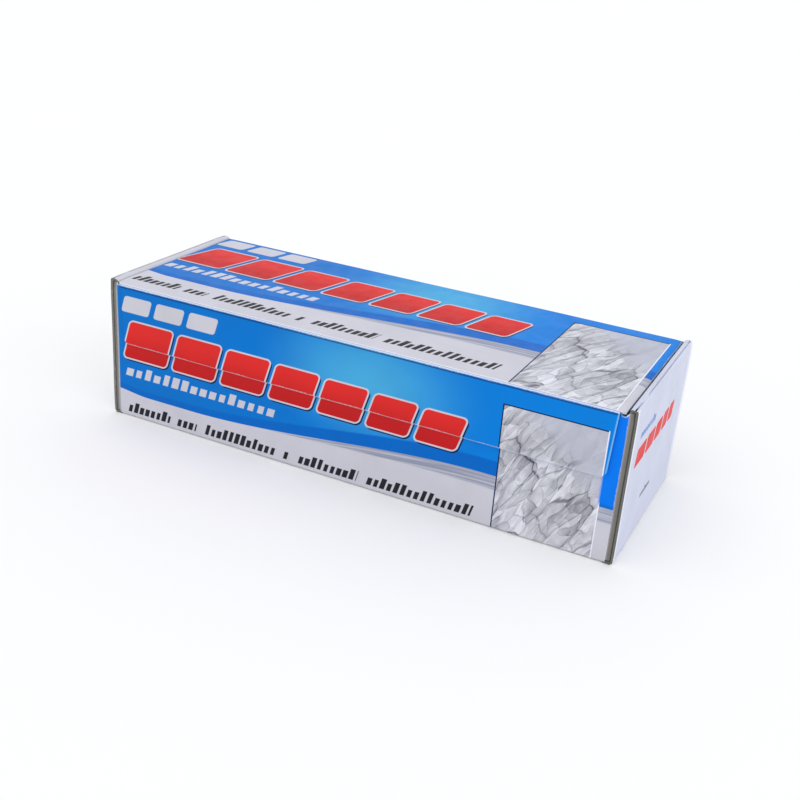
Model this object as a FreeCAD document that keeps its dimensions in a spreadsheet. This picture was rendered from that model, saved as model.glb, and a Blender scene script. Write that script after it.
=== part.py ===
# Boxed roll of aluminium foil, catering size: a folded card carton with a hinged lid,
# a front flap that hangs outside the front wall, a toothed cutting strip behind the
# flap, and a wound foil roll on a card core lying loose on the bottom.
#
# X runs along the carton, the front faces -Y and Z is up. The origin is the middle of
# the outline at the height of the surface that the carton stands on.

import FreeCAD, Part
import math
import os
import Sketcher
from FreeCAD import Vector

doc = FreeCAD.newDocument("foil_roll_carton")
sheet = doc.addObject("Spreadsheet::Sheet", "sizes")

SIZES = [
    # carton, outside
    ("length", 316.0, "over both end walls"),
    ("depth", 116.0, "front flap to back wall"),
    ("lid_top", 85.0, "top face of the closed lid"),
    ("end_top", 86.2, "top of the rolled-over end walls"),
    # board and folds
    ("board", 1.3, "thickness of the card"),
    ("crease_inner", 0.2, "inside radius of a scored crease"),
    ("base_inner", 0.5, "inside radius of the folds round the bottom"),
    ("corner_inner", 1.3, "inside radius where a wall turns into its dust flap"),
    ("crease_split", 2.0, "degrees of a creased corner left open at its hinge line"),
    # rolled-over end walls
    ("leaf_gap", 0.25, "air between an end wall's leaves and the dust flaps"),
    ("leaf_inset", 0.4, "end wall's cut edges behind the faces of the walls"),
    ("leaf_foot", 0.3, "inner leaf above the bottom panel"),
    ("tuck", 0.4, "inner leaf clear of the front and back walls"),
    ("dust_reach", 48.0, "dust flap along the end wall"),
    ("dust_foot", 0.8, "dust flap above the bottom panel"),
    ("dust_rise", 1.0, "top of a dust flap above the top of the front wall"),
    ("tab_width", 24.0, "locking tab under the inner leaf"),
    ("tab_spread", 56.0, "between the two tabs of one end"),
    ("tab_short", 0.2, "tab above the carton's underside"),
    ("slot_room", 0.35, "slot round its tab"),
    # lid and front flap
    ("lid_gap", 1.6, "lid's end to the end wall"),
    ("lid_seat", 0.3, "lid's underside above the front wall"),
    ("lid_corner", 2.7, "bevel of the lid's front corners"),
    ("flap_drop", 36.5, "lid's top face to the flap's lower edge"),
    ("flap_gap", 0.75, "flap in front of the wall behind it"),
    ("flap_taper", 1.8, "flap shorter at its lower edge, each end"),
    ("flap_corner", 3.0, "radius of the flap's lower corners"),
    # cutting strip
    ("cutter_inset", 5.3, "steel strip's end to the flap's end"),
    ("cutter_width", 9.0, "from its back edge to the tooth tips"),
    ("cutter_sheet", 0.35, "thickness of the steel"),
    ("cutter_lift", 0.8, "tooth tips above the flap's lower edge"),
    ("tooth_pitch", 4.0, "tooth to tooth"),
    ("tooth_depth", 2.2, "root to tip"),
    ("stitch_hole", 2.6, "diameter of the holes that pin the strip to the card"),
    ("stitch_pitch", 45.0, "hole to hole"),
    # roll
    ("roll_play", 3.6, "foil's end to the end wall's inner leaf"),
    ("roll_headroom", 6.2, "full roll to the lid"),
    ("core_diameter", 42.0, "outside of the core tube"),
    ("core_wall", 2.0, "wall of the core tube"),
    ("core_proud", 0.8, "core past the foil, each end"),
    ("core_fit", 0.05, "foil clear of the core all round"),
    ("roll_seat", 0.2, "roll above the bottom panel"),
    ("turn_step", 0.4, "wound turns that sit in or out at the ends"),
    ("tail_lift", 0.3, "foil's free end above the turn below it"),
    ("tail_from", 112.0, "degrees up from the back where the free end starts"),
    ("tail_to", 150.0, "degrees up from the back where the free end stops"),
]

# Where the wound turns step in or out at the ends, as shares of the foil's build-up
TURN_STEPS = (0.12, 0.38, 0.6, 0.84)

for row, (name, number, note) in enumerate(SIZES, 1):
    sheet.set("A%d" % row, name)
    sheet.set("B%d" % row, repr(number))
    sheet.set("C%d" % row, note)
    sheet.setAlias("B%d" % row, name)
doc.recompute()


# A size is a number together with the expression that gives it from the sheet, so that
# the same sum places a point and binds its constraint.
class Size:
    def __init__(self, text, number):
        self.text, self.number = text, number

    def join(self, sign, other, flip=False):
        other = other if isinstance(other, Size) else Size(repr(float(other)), float(other))
        a, b = (other, self) if flip else (self, other)
        total = {
            "+": lambda: a.number + b.number,
            "-": lambda: a.number - b.number,
            "*": lambda: a.number * b.number,
            "/": lambda: a.number / b.number,
        }[sign]()
        return Size("(%s %s %s)" % (a.text, sign, b.text), total)

    def __add__(self, other):
        return self.join("+", other)

    def __radd__(self, other):
        return self.join("+", other, True)

    def __sub__(self, other):
        return self.join("-", other)

    def __rsub__(self, other):
        return self.join("-", other, True)

    def __mul__(self, other):
        return self.join("*", other)

    def __rmul__(self, other):
        return self.join("*", other, True)

    def __truediv__(self, other):
        return self.join("/", other)

    def __neg__(self):
        return self.join("-", 0.0, True)


S = {name: Size("<<sizes>>.%s" % name, float(sheet.get(name))) for name, _, _ in SIZES}
ZERO = Size("0", 0.0)


# Faces and lines that more than one piece is built from
class Carton:
    crease_outer = S["board"] + S["crease_inner"]
    corner_outer = S["board"] + S["corner_inner"]
    base_outer = S["board"] + S["base_inner"]
    front = -(S["depth"] / 2)
    back = S["depth"] / 2
    end = S["length"] / 2
    flap_back = front + S["board"]
    wall_front = flap_back + S["flap_gap"]
    wall_front_in = wall_front + S["board"]
    back_in = back - S["board"]
    lid_under = S["lid_top"] - S["board"]
    wall_top = lid_under - S["lid_seat"]
    leaf_in = end - S["board"]
    dust_out = leaf_in - S["leaf_gap"]
    dust_in = dust_out - S["board"]
    tuck_out = dust_in - S["leaf_gap"]
    tuck_in = tuck_out - S["board"]
    wall_run = dust_out - corner_outer
    lid_end = tuck_in - S["lid_gap"]
    flap_end = lid_end - S["lid_corner"]
    flap_foot = S["lid_top"] - S["flap_drop"]
    cutter_end = flap_end - S["cutter_inset"]
    foil_end = tuck_in - S["roll_play"]
    foil_foot = S["board"] + S["roll_seat"]
    foil_radius = (lid_under - S["roll_headroom"] - foil_foot) / 2


def new_body(label):
    body = doc.addObject("PartDesign::Body", label)
    body.Label = label
    return body


def plane(body, role):
    return [f for f in body.Origin.OriginFeatures if f.Role == role][0]


def new_sketch(body, name, role, offset=None):
    sketch = body.newObject("Sketcher::SketchObject", name)
    sketch.AttachmentSupport = [(plane(body, role), "")]
    sketch.MapMode = "FlatFace"
    if offset is not None:
        sketch.setExpression("AttachmentOffset.Base.z", offset.text)
    return sketch


def bind(sketch, constraint, size):
    index = sketch.addConstraint(constraint)
    sketch.setExpression("Constraints[%d]" % index, size.text)


# Holds one end or centre of a piece of geometry at a place from the sketch's origin
def locate(sketch, geo, pos, x, y):
    for kind, size, axis in (("DistanceX", x, -2), ("DistanceY", y, -1)):
        if abs(size.number) < 1e-9:
            sketch.addConstraint(Sketcher.Constraint("PointOnObject", geo, pos, axis))
        elif size.number > 0:
            bind(sketch, Sketcher.Constraint(kind, -1, 1, geo, pos, size.number), size)
        else:
            bind(sketch, Sketcher.Constraint(kind, geo, pos, -1, 1, -size.number), -size)


# Closed outline through the given corners. A corner is (x, y), or (x, y, radius, centre x,
# centre y) where an arc leads on to the next corner.
def outline(sketch, corners):
    first = sketch.GeometryCount
    count = len(corners)
    ends = []
    for i, corner in enumerate(corners):
        here = Vector(corner[0].number, corner[1].number, 0)
        after = corners[(i + 1) % count]
        there = Vector(after[0].number, after[1].number, 0)
        if len(corner) == 2:
            sketch.addGeometry(Part.LineSegment(here, there))
            ends.append((1, 2))
            continue
        centre = Vector(corner[3].number, corner[4].number, 0)
        a = math.atan2(here.y - centre.y, here.x - centre.x)
        b = math.atan2(there.y - centre.y, there.x - centre.x)
        left = math.remainder(b - a, 2 * math.pi) > 0
        circle = Part.Circle(centre, Vector(0, 0, 1), corner[2].number)
        sketch.addGeometry(Part.ArcOfCircle(circle, *((a, b) if left else (b, a))))
        ends.append((1, 2) if left else (2, 1))
    for i in range(count):
        j = (i + 1) % count
        sketch.addConstraint(
            Sketcher.Constraint("Coincident", first + i, ends[i][1], first + j, ends[j][0])
        )
    for i, corner in enumerate(corners):
        locate(sketch, first + i, ends[i][0], corner[0], corner[1])
        if len(corner) > 2:
            radius = Sketcher.Constraint("Radius", first + i, corner[2].number)
            bind(sketch, radius, corner[2])


def rectangle(sketch, left, right, low, high):
    outline(sketch, [(left, low), (right, low), (right, high), (left, high)])


def circle(sketch, x, y, diameter):
    geo = sketch.addGeometry(
        Part.Circle(Vector(x.number, y.number, 0), Vector(0, 0, 1), diameter.number / 2)
    )
    locate(sketch, geo, 3, x, y)
    bind(sketch, Sketcher.Constraint("Diameter", geo, diameter.number), diameter)


# Pads or pockets a sketch by a length, about its plane or to one side of it
def extrude(body, kind, name, sketch, length, both=True, back=False):
    feature = body.newObject("PartDesign::" + kind, name)
    feature.Profile = sketch
    feature.setExpression("Length", length.text)
    feature.SideType = "Symmetric" if both else "One side"
    feature.Reversed = back
    doc.recompute()
    return feature


def mirror(body, name, features, role):
    feature = body.newObject("PartDesign::Mirrored", name)
    feature.Originals = features
    feature.MirrorPlane = (plane(body, role), [""])
    body.Tip = feature
    doc.recompute()
    return feature


def row_of(body, name, features, span, copies):
    feature = body.newObject("PartDesign::LinearPattern", name)
    feature.Originals = features
    axis = [f for f in body.Origin.OriginFeatures if f.Role == "X_Axis"][0]
    feature.Direction = (axis, [""])
    feature.Mode = "Extent"
    feature.setExpression("Length", span.text)
    feature.Occurrences = copies
    body.Tip = feature
    doc.recompute()
    return feature


# Half of a creased corner: from the wall's inner face, across the open hinge line and
# round the outer arc to the outer face. Signs say which way out and up lie.
def crease_half(centre_a, centre_b, side_a, swap):
    near = math.radians(45 - S["crease_split"].number)
    r = Carton.crease_outer
    a, b = r * math.cos(near), r * math.sin(near)
    slope = a - S["crease_inner"]
    tip = (a, b)
    inner = (S["crease_inner"], b - slope)
    if swap:
        tip, inner = (b, a), (b - slope, S["crease_inner"])
    place = lambda p: (centre_a + side_a * p[0], centre_b + p[1])
    return place(inner), place(tip), (r, centre_a, centre_b)


# Front wall, bottom and back wall in one bent section. The back wall ends in its half
# of the lid's crease.
def tray_section(body):
    c = Carton
    cy, cz = c.back - c.crease_outer, S["lid_top"] - c.crease_outer
    inner, tip, arc = crease_half(cy, cz, 1.0, False)
    r, q = c.base_outer, S["base_inner"]
    front_c, back_c = c.wall_front + r, c.back - r
    sketch = new_sketch(body, "wall_section", "YZ_Plane")
    outline(
        sketch,
        [
            (c.wall_front, c.wall_top),
            (c.wall_front, r, r, front_c, r),
            (front_c, ZERO),
            (back_c, ZERO, r, back_c, r),
            (c.back, r),
            (c.back, cz, *arc),
            tip,
            inner,
            (c.back_in, r, q, back_c, r),
            (back_c, S["board"]),
            (front_c, S["board"], q, front_c, r),
            (c.wall_front_in, r),
            (c.wall_front_in, c.wall_top),
        ],
    )
    return extrude(body, "Pad", "walls", sketch, c.wall_run * 2)


# End wall: up from the bottom, over a narrow top and a short way down inside
def end_wall(body):
    c = Carton
    r, q = c.base_outer, S["base_inner"]
    s, p = c.crease_outer, S["crease_inner"]
    foot = c.end - r
    out_c, in_c, top_c = c.end - s, c.tuck_in + s, S["end_top"] - s
    start = c.wall_run - S["board"]
    sketch = new_sketch(body, "end_section", "XZ_Plane", -(c.back - S["leaf_inset"]))
    outline(
        sketch,
        [
            (start, ZERO),
            (foot, ZERO, r, foot, r),
            (c.end, r),
            (c.end, top_c, s, out_c, top_c),
            (out_c, S["end_top"]),
            (in_c, S["end_top"], s, in_c, top_c),
            (c.tuck_in, top_c),
            (c.tuck_in, c.wall_top),
            (c.tuck_out, c.wall_top),
            (c.tuck_out, top_c, p, in_c, top_c),
            (in_c, S["end_top"] - S["board"]),
            (out_c, S["end_top"] - S["board"], p, out_c, top_c),
            (c.leaf_in, top_c),
            (c.leaf_in, r, q, foot, r),
            (foot, S["board"]),
            (start, S["board"]),
        ],
    )
    width = (c.back - S["leaf_inset"]) - (c.wall_front + S["leaf_inset"])
    return extrude(body, "Pad", "end_leaf", sketch, width, both=False)


# Inner leaf of the end wall, between the front and back walls, and its locking tabs
def inner_leaf(body):
    c = Carton
    sketch = new_sketch(body, "inner_section", "XZ_Plane", -(c.back_in - S["tuck"]))
    foot = S["board"] + S["leaf_foot"]
    rectangle(sketch, c.tuck_in, c.tuck_out, foot, c.wall_top)
    width = (c.back_in - S["tuck"]) - (c.wall_front_in + S["tuck"])
    leaf = extrude(body, "Pad", "inner_leaf", sketch, width, both=False)

    tabs = new_sketch(body, "tab_outline", "YZ_Plane", c.tuck_in)
    for side in (-1.0, 1.0):
        middle = S["tab_spread"] / 2 * side
        left, right = middle - S["tab_width"] / 2, middle + S["tab_width"] / 2
        rectangle(tabs, left, right, S["tab_short"], foot)
    return leaf, extrude(body, "Pad", "lock_tabs", tabs, S["board"], both=False)


def lock_slots(body):
    c = Carton
    sketch = new_sketch(body, "slot_outline", "XY_Plane")
    for side in (-1.0, 1.0):
        middle = S["tab_spread"] / 2 * side
        low = middle - S["tab_width"] / 2 - S["slot_room"]
        high = middle + S["tab_width"] / 2 + S["slot_room"]
        left, right = c.tuck_in - S["slot_room"], c.tuck_out + S["slot_room"]
        rectangle(sketch, left, right, low, high)
    return extrude(body, "Pocket", "lock_slots", sketch, S["board"] * 4)


# Dust flap: the end of the front or back wall, turned in between the leaves
def dust_flap(body, name, face, inward):
    c = Carton
    r, q = c.corner_outer, S["corner_inner"]
    inner_face = face + S["board"] * inward
    bend_y = face + r * inward
    reach = face + S["dust_reach"] * inward
    start = c.wall_run - S["board"]
    corners = [
        (start, face),
        (c.wall_run, face, r, c.wall_run, bend_y),
        (c.dust_out, bend_y),
        (c.dust_out, reach),
        (c.dust_in, reach),
        (c.dust_in, bend_y, q, c.wall_run, bend_y),
        (c.wall_run, inner_face),
        (start, inner_face),
    ]
    low = S["board"] + S["dust_foot"]
    sketch = new_sketch(body, name + "_outline", "XY_Plane", low)
    outline(sketch, corners)
    tall = c.wall_top + S["dust_rise"] - low
    return extrude(body, "Pad", name, sketch, tall, both=False)


def carton_tray():
    body = new_body("carton_tray")
    tray_section(body)
    slots = lock_slots(body)
    leaf = end_wall(body)
    tucked, tabs = inner_leaf(body)
    front = dust_flap(body, "dust_front", Carton.wall_front, 1.0)
    rear = dust_flap(body, "dust_back", Carton.back, -1.0)
    mirror(body, "both_ends", [slots, leaf, tucked, tabs, front, rear], "YZ_Plane")
    return body


# Lid: a flat panel with half a crease along each long edge and bevelled front corners
def lid_panel():
    c = Carton
    body = new_body("lid_panel")
    r = c.crease_outer
    cz = S["lid_top"] - r
    back_y, front_y = c.back - r, c.front + r
    back_in, back_tip, _ = crease_half(back_y, cz, 1.0, True)
    front_in, front_tip, _ = crease_half(front_y, cz, -1.0, True)
    sketch = new_sketch(body, "lid_section", "YZ_Plane")
    outline(
        sketch,
        [
            (front_in[0], c.lid_under),
            (back_in[0], c.lid_under),
            (*back_tip, r, back_y, cz),
            (back_y, S["lid_top"]),
            (front_y, S["lid_top"], r, front_y, cz),
            front_tip,
        ],
    )
    extrude(body, "Pad", "panel", sketch, c.lid_end * 2)

    bevel = new_sketch(body, "bevel_outline", "XY_Plane")
    outline(
        bevel,
        [
            (c.flap_end, c.front),
            (c.lid_end, c.front),
            (c.lid_end, c.front + S["lid_corner"]),
        ],
    )
    cut = extrude(body, "Pocket", "bevel", bevel, S["lid_top"] * 3)
    mirror(body, "both_bevels", [cut], "YZ_Plane")
    return body


# Front flap: hangs from the lid's front crease, outside the front wall
def front_flap():
    c = Carton
    body = new_body("front_flap")
    r = c.crease_outer
    cy, cz = c.front + r, S["lid_top"] - r
    inner, tip, _ = crease_half(cy, cz, -1.0, False)
    sketch = new_sketch(body, "flap_section", "YZ_Plane")
    outline(
        sketch,
        [
            (c.front, c.flap_foot),
            (c.flap_back, c.flap_foot),
            inner,
            (*tip, r, cy, cz),
            (c.front, cz),
        ],
    )
    extrude(body, "Pad", "panel", sketch, c.flap_end * 2)

    taper = new_sketch(body, "taper_outline", "XZ_Plane")
    outline(
        taper,
        [
            (c.flap_end, S["lid_top"]),
            (c.flap_end - S["flap_taper"], c.flap_foot),
            (c.flap_end, c.flap_foot),
        ],
    )
    cut = extrude(body, "Pocket", "taper", taper, S["depth"] * 2)
    both = mirror(body, "both_tapers", [cut], "YZ_Plane")

    corners = [
        "Edge%d" % (i + 1)
        for i, edge in enumerate(both.Shape.Edges)
        if all(abs(v.Z - c.flap_foot.number) < 1e-4 for v in edge.Vertexes)
        and abs(edge.Vertexes[0].X - edge.Vertexes[-1].X) < 1e-4
    ]
    fillet = body.newObject("PartDesign::Fillet", "round_corners")
    fillet.Base = (both, corners)
    fillet.setExpression("Radius", S["flap_corner"].text)
    body.Tip = fillet
    doc.recompute()
    return body


# Steel strip pinned behind the flap, its teeth towards the flap's lower edge
def cutter_strip():
    c = Carton
    body = new_body("cutter_strip")
    tips = c.flap_foot + S["cutter_lift"]
    roots, top = tips + S["tooth_depth"], tips + S["cutter_width"]
    end = c.cutter_end
    sketch = new_sketch(body, "strip_outline", "XZ_Plane", -(c.flap_back + S["cutter_sheet"]))
    rectangle(sketch, -end, end, roots, top)
    extrude(body, "Pad", "strip", sketch, S["cutter_sheet"], both=False)

    tooth = new_sketch(body, "tooth_outline", "XZ_Plane", -(c.flap_back + S["cutter_sheet"]))
    base = roots + S["tooth_depth"] / 2
    left, right = -end, S["tooth_pitch"] - end
    middle = S["tooth_pitch"] / 2 - end
    outline(tooth, [(left, roots), (middle, tips), (right, roots), (right, base), (left, base)])
    one = extrude(body, "Pad", "tooth", tooth, S["cutter_sheet"], both=False)
    copies = int(end.number * 2 // S["tooth_pitch"].number)
    row_of(body, "teeth", [one], S["tooth_pitch"] * float(copies - 1), copies)

    room = end.number * 2 - S["stitch_pitch"].number / 2
    holes = int(room // S["stitch_pitch"].number) + 1
    spot = new_sketch(body, "stitch_outline", "XZ_Plane")
    first = -(S["stitch_pitch"] * ((holes - 1) / 2))
    circle(spot, first, (roots + top) / 2, S["stitch_hole"])
    pin = extrude(body, "Pocket", "stitch", spot, S["depth"] * 2)
    row_of(body, "stitches", [pin], S["stitch_pitch"] * float(holes - 1), holes)
    return body


# Stands a body made about its own long axis on the bottom panel
def lay_down(body):
    height = Carton.foil_foot + Carton.foil_radius
    body.setExpression("Placement.Base.z", height.text)


# Foil: the wound turns as one turned solid, some groups of turns a little in or out at
# the ends, and the free end lying on the turn below it
def foil_roll():
    c = Carton
    body = new_body("foil_roll")
    end = c.foil_end
    inner = S["core_diameter"] / 2 + S["core_fit"]
    outer = c.foil_radius
    wound = outer - inner
    low = end - S["turn_step"]
    right = [(end, inner)]
    for step, share in enumerate(TURN_STEPS):
        radius = inner + wound * share
        before, after = (end, low) if step % 2 == 0 else (low, end)
        right += [(before, radius), (after, radius)]
    right.append((end, outer))
    left = [(-x, radius) for x, radius in reversed(right)]
    sketch = new_sketch(body, "turns_section", "XZ_Plane")
    outline(sketch, right + left)
    turned = body.newObject("PartDesign::Revolution", "turns")
    turned.Profile = sketch
    axis = [f for f in body.Origin.OriginFeatures if f.Role == "X_Axis"][0]
    turned.ReferenceAxis = (axis, [""])
    turned.Angle = 360
    doc.recompute()

    tail = new_sketch(body, "tail_section", "YZ_Plane")
    under, over = outer - S["tail_lift"], outer + S["tail_lift"]
    near, far = math.radians(S["tail_from"].number), math.radians(S["tail_to"].number)
    outline(
        tail,
        [
            (over * math.cos(near), over * math.sin(near), over, ZERO, ZERO),
            (over * math.cos(far), over * math.sin(far)),
            (under * math.cos(far), under * math.sin(far), under, ZERO, ZERO),
            (under * math.cos(near), under * math.sin(near)),
        ],
    )
    extrude(body, "Pad", "free_end", tail, low * 2)
    lay_down(body)
    return body


def core_tube():
    body = new_body("core_tube")
    sketch = new_sketch(body, "tube_section", "YZ_Plane")
    circle(sketch, ZERO, ZERO, S["core_diameter"])
    circle(sketch, ZERO, ZERO, S["core_diameter"] - S["core_wall"] * 2)
    extrude(body, "Pad", "tube", sketch, (Carton.foil_end + S["core_proud"]) * 2)
    lay_down(body)
    return body


pieces = [carton_tray(), lid_panel(), front_flap(), cutter_strip(), foil_roll(), core_tube()]
doc.recompute()

for thing in doc.Objects:
    wrong = [word for word in thing.State if word in ("Invalid", "Error")]
    assert not wrong, "%s: %s" % (thing.Name, wrong)

os.makedirs("parts", exist_ok=True)
for piece in pieces:
    shape = piece.Shape
    assert not shape.isNull() and shape.isValid(), piece.Label
    assert len(shape.Solids) == 1, "%s has %d solids" % (piece.Label, len(shape.Solids))
    shape.exportStep("parts/%s.step" % piece.Label)
    box = shape.BoundBox
    print(
        "%-13s %9.1f mm3  x %.2f..%.2f  y %.2f..%.2f  z %.2f..%.2f"
        % (piece.Label, shape.Volume, box.XMin, box.XMax, box.YMin, box.YMax, box.ZMin, box.ZMax)
    )

# Hinge lines, at the middle of each creased corner's outer arc
reach = Carton.crease_outer.number * (1 - math.cos(math.radians(45)))
print("lid hinge   y %.4f z %.4f" % (Carton.back.number - reach, S["lid_top"].number - reach))
print("flap hinge  y %.4f z %.4f" % (Carton.front.number + reach, S["lid_top"].number - reach))
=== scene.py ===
import math

import bmesh
import bpy
from mathutils import Matrix, Vector, noise
from mathutils.bvhtree import BVHTree


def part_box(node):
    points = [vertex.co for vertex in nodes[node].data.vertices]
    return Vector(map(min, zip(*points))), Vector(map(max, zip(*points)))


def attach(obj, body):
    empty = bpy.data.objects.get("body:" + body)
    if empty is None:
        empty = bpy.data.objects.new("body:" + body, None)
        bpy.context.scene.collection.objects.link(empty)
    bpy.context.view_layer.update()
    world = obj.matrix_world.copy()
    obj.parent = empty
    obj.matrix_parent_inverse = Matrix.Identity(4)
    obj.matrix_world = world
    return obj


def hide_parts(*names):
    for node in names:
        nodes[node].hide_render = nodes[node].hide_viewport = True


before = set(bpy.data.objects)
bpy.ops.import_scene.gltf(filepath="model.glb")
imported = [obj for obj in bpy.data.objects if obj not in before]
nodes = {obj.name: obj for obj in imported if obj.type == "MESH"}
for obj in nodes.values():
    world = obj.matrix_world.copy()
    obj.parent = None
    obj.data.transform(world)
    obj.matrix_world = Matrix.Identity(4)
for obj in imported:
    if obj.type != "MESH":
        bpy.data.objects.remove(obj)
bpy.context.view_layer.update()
MM = 0.001


# The carton's main faces, in millimetres, read from the frame
trayLow, trayHigh = [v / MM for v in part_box("carton_tray")]
lidLow, lidHigh = [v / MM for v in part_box("lid_panel")]
flapLow, flapHigh = [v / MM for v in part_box("front_flap")]
rollLow, rollHigh = [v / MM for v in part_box("foil_roll")]
coreLow, coreHigh = [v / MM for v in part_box("core_tube")]

carton = {
    "end": trayHigh.x,
    "back": trayHigh.y,
    "wallFront": trayLow.y,
    "top": trayHigh.z,
    "lidTop": lidHigh.z,
    "flapFoot": flapLow.z,
    "board": 1.3,
    "depth": trayHigh.y - flapLow.y,
    "wallRun": trayHigh.x - 4.15,  # middle to the walls' bends
    "leaf": 2.8,  # outer leaf and the bend beside it
}


def srgb(red, green, blue):
    def linear(value):
        value /= 255
        return value / 12.92 if value <= 0.04045 else ((value + 0.055) / 1.055) ** 2.4

    return (linear(red), linear(green), linear(blue), 1.0)


inks = {
    "paper": srgb(206, 204, 212),
    "blue": srgb(2, 114, 200),
    "blueRight": srgb(0, 128, 220),
    # Painted highlight: pale blue for the flap's lit right edge
    "edgeHighlightBlue": srgb(112, 190, 246),
    # Painted light: brighter blue for the wall's strip right of the flap
    "blueLit": srgb(0, 122, 240),
    "blueDark": srgb(0, 104, 196),
    "cyan": srgb(84, 184, 222),
    "silver": srgb(188, 189, 202),
    "silverDark": srgb(150, 153, 170),
    "red": srgb(226, 46, 44),
    "redDeep": srgb(196, 30, 32),
    "navy": srgb(8, 34, 84),
    "charcoal": srgb(40, 40, 46),
    "foilDark": srgb(84, 84, 94),
    "foilLight": srgb(230, 229, 236),
    "lavender": srgb(208, 211, 228),
    "rubbed": srgb(240, 240, 248),
    "boardGrey": srgb(144, 143, 139),
    "boardBrown": srgb(150, 143, 128),
    "boardDark": srgb(84, 86, 80),
    # Painted shade: bare white board in shade, grey on the wall's bends and beside its left bend
    "bend": srgb(124, 119, 112),
    "bendShadePale": srgb(164, 164, 168),
}


# Short calls for building a node tree
class Graph:
    def __init__(self, tree):
        self.tree = tree

    def add(self, kind, **settings):
        node = self.tree.nodes.new(kind)
        for name, value in settings.items():
            setattr(node, name, value)
        return node

    def feed(self, socket, value):
        if isinstance(value, bpy.types.NodeSocket):
            self.tree.links.new(value, socket)
        elif value is not None:
            socket.default_value = value

    def math(self, operation, *values, clamp=False):
        node = self.add("ShaderNodeMath", operation=operation, use_clamp=clamp)
        for socket, value in zip(node.inputs, values):
            self.feed(socket, value)
        return node.outputs[0]

    def mix(self, factor, a, b, blend="MIX"):
        node = self.add("ShaderNodeMix", data_type="RGBA", blend_type=blend)
        for socket, value in zip((node.inputs[0], node.inputs[6], node.inputs[7]), (factor, a, b)):
            self.feed(socket, value)
        return node.outputs[2]

    def combine(self, x, y, z=0.0):
        node = self.add("ShaderNodeCombineXYZ")
        for socket, value in zip(node.inputs, (x, y, z)):
            self.feed(socket, value)
        return node.outputs[0]

    def split(self, vector):
        node = self.add("ShaderNodeSeparateXYZ")
        self.feed(node.inputs[0], vector)
        return node.outputs

    def noise(self, vector, scale, detail=2.0, roughness=0.5):
        node = self.add("ShaderNodeTexNoise")
        self.feed(node.inputs["Vector"], vector)
        for name, value in (("Scale", scale), ("Detail", detail), ("Roughness", roughness)):
            self.feed(node.inputs[name], value)
        return node.outputs[0]

    def fade(self, value, start, stop, low=0.0, high=1.0):
        node = self.add("ShaderNodeMapRange", interpolation_type="SMOOTHSTEP")
        for socket, number in zip(node.inputs, (value, start, stop, low, high)):
            self.feed(socket, number)
        return node.outputs[0]

    def bump(self, height, distance, strength=1.0, normal=None):
        node = self.add("ShaderNodeBump")
        self.feed(node.inputs["Height"], height)
        self.feed(node.inputs["Distance"], distance)
        self.feed(node.inputs["Strength"], strength)
        self.feed(node.inputs["Normal"], normal)
        return node.outputs[0]

    def group(self, tree, *values):
        node = self.add("ShaderNodeGroup", node_tree=tree)
        for socket, value in zip(node.inputs, values):
            self.feed(socket, value)
        return node.outputs


def newGroup(name, inputs, outputs):
    tree = bpy.data.node_groups.new(name, "ShaderNodeTree")
    for way, sockets in (("INPUT", inputs), ("OUTPUT", outputs)):
        for label, kind in sockets:
            tree.interface.new_socket(name=label, in_out=way, socket_type="NodeSocket" + kind)
    graph = Graph(tree)
    start = graph.add("NodeGroupInput").outputs
    end = graph.add("NodeGroupOutput").inputs
    return tree, graph, start, end


# Distance in mm to a slanted rectangle with rounded corners, negative inside
def tileGroup():
    names = ("Along", "Down", "Left", "Right", "Top", "Bottom", "Slant", "Rounding")
    tree, g, start, end = newGroup("tile", [(n, "Float") for n in names], [("Distance", "Float")])
    along, down, left, right, top, bottom, slant, rounding = start[:8]
    middle = g.math("MULTIPLY", g.math("ADD", top, bottom), 0.5)
    upright = g.math("MULTIPLY_ADD", g.math("SUBTRACT", down, middle), slant, along)
    centre = g.math("MULTIPLY", g.math("ADD", left, right), 0.5)
    halfLength = g.math("MULTIPLY", g.math("SUBTRACT", right, left), 0.5)
    halfHeight = g.math("MULTIPLY", g.math("SUBTRACT", bottom, top), 0.5)
    sides = []
    for place, mid, half in ((upright, centre, halfLength), (down, middle, halfHeight)):
        reach = g.math("ABSOLUTE", g.math("SUBTRACT", place, mid))
        sides.append(g.math("ADD", g.math("SUBTRACT", reach, half), rounding))
    outside = [g.math("MAXIMUM", side, 0.0) for side in sides]
    squares = g.math("MULTIPLY_ADD", outside[0], outside[0], g.math("MULTIPLY", outside[1], outside[1]))
    inside = g.math("MINIMUM", g.math("MAXIMUM", sides[0], sides[1]), 0.0)
    total = g.math("ADD", g.math("SQRT", squares), inside)
    g.feed(end[0], g.math("SUBTRACT", total, rounding))
    return tree


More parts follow.
